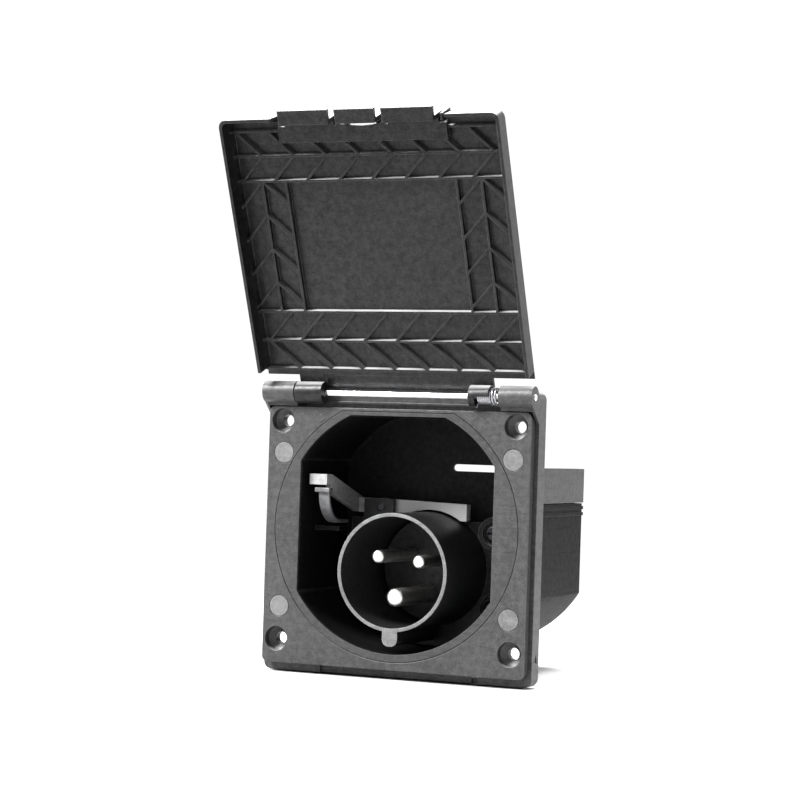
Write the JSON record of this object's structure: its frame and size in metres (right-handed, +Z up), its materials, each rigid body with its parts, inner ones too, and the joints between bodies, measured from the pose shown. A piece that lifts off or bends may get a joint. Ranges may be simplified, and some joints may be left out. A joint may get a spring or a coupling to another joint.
{
  "type": "flush mains inlet box",
  "caption": "Flush-mounted mains inlet box: square frame, hinged ribbed lid, round recess with a three pin inlet and release lever, terminal housing behind.",
  "frame": {"origin": "centre of the round recess, in the plane of the wall that the frame's rim lies on", "axes": "+Z up, +X to the right seen from the front, +Y into the wall; the front faces -Y"},
  "size_m": [0.1114, 0.1617, 0.2097],
  "materials": {
    "black_plastic": "fine moulded grain, satin",
    "grey_plastic": "smooth satin",
    "black_rubber": "matt",
    "zinc_steel": "bright zinc plate",
    "spring_steel": "drawn",
    "nickel_plate": "bright",
    "brass": "machined"
  },
  "bodies": {
    "box": {"frame": "black_plastic", "recess_bowl": "black_plastic", "inlet_insert": "black_plastic", "pin_carrier": "black_plastic", "terminal_box": "black_plastic", "gland_body": "black_plastic", "gland_nut": "black_plastic", "gland_locknut": "black_plastic", "blanking_plug_1": "grey_plastic", "blanking_plug_2": "grey_plastic", "blanking_plug_3": "grey_plastic", "blanking_plug_4": "grey_plastic", "terminal_cap": "grey_plastic", "cord_clamp": "grey_plastic", "lid_seal": "black_rubber", "inlet_gasket": "black_rubber", "gland_seal": "black_rubber", "assembly_screw_1": "zinc_steel", "assembly_screw_2": "zinc_steel", "assembly_screw_3": "zinc_steel", "assembly_screw_4": "zinc_steel", "inlet_screw_1": "zinc_steel", "inlet_screw_2": "zinc_steel", "inlet_screw_3": "zinc_steel", "inlet_screw_4": "zinc_steel", "cap_screw_1": "zinc_steel", "cap_screw_2": "zinc_steel", "cap_screw_3": "zinc_steel", "cap_screw_4": "zinc_steel", "clamp_screw_1": "zinc_steel", "clamp_screw_2": "zinc_steel", "terminal_earth_screw": "zinc_steel", "terminal_live_screw": "zinc_steel", "terminal_neutral_screw": "zinc_steel", "hinge_rod": "zinc_steel", "lever_pivot_pin": "zinc_steel", "lever_spring": "spring_steel", "pin_earth": "nickel_plate", "pin_live": "nickel_plate", "pin_neutral": "nickel_plate", "terminal_earth": "brass", "terminal_live": "brass", "terminal_neutral": "brass"},
    "lid_body": {"lid": "black_plastic", "catch_pin": "zinc_steel", "lid_spring": "spring_steel"},
    "catch_body": {"lid_catch": "black_plastic"},
    "lever_body": {"release_lever": "grey_plastic"}
  },
  "joints": [
    {"name": "lid_hinge", "type": "hinge", "parent": "box", "child": "lid_body", "pos_m": [0, -0.0125, 0.0513], "axis": [1, 0, 0], "range_deg": [0, 156.5]},
    {"name": "catch_pivot", "type": "hinge", "parent": "lid_body", "child": "catch_body", "pos_m": [0, -0.04981, 0.14412], "axis": [-1, 0, 0], "range_deg": [0, 8], "stiffness_Nm_per_rad": 0.02},
    {"name": "lever_pivot", "type": "hinge", "parent": "box", "child": "lever_body", "pos_m": [-0.02, 0.025, 0.0076], "axis": [0, -1, 0], "range_deg": [0, 10], "stiffness_Nm_per_rad": 0.05, "springref_deg": -5.73, "deforming": ["lever_spring"]}
  ]
}
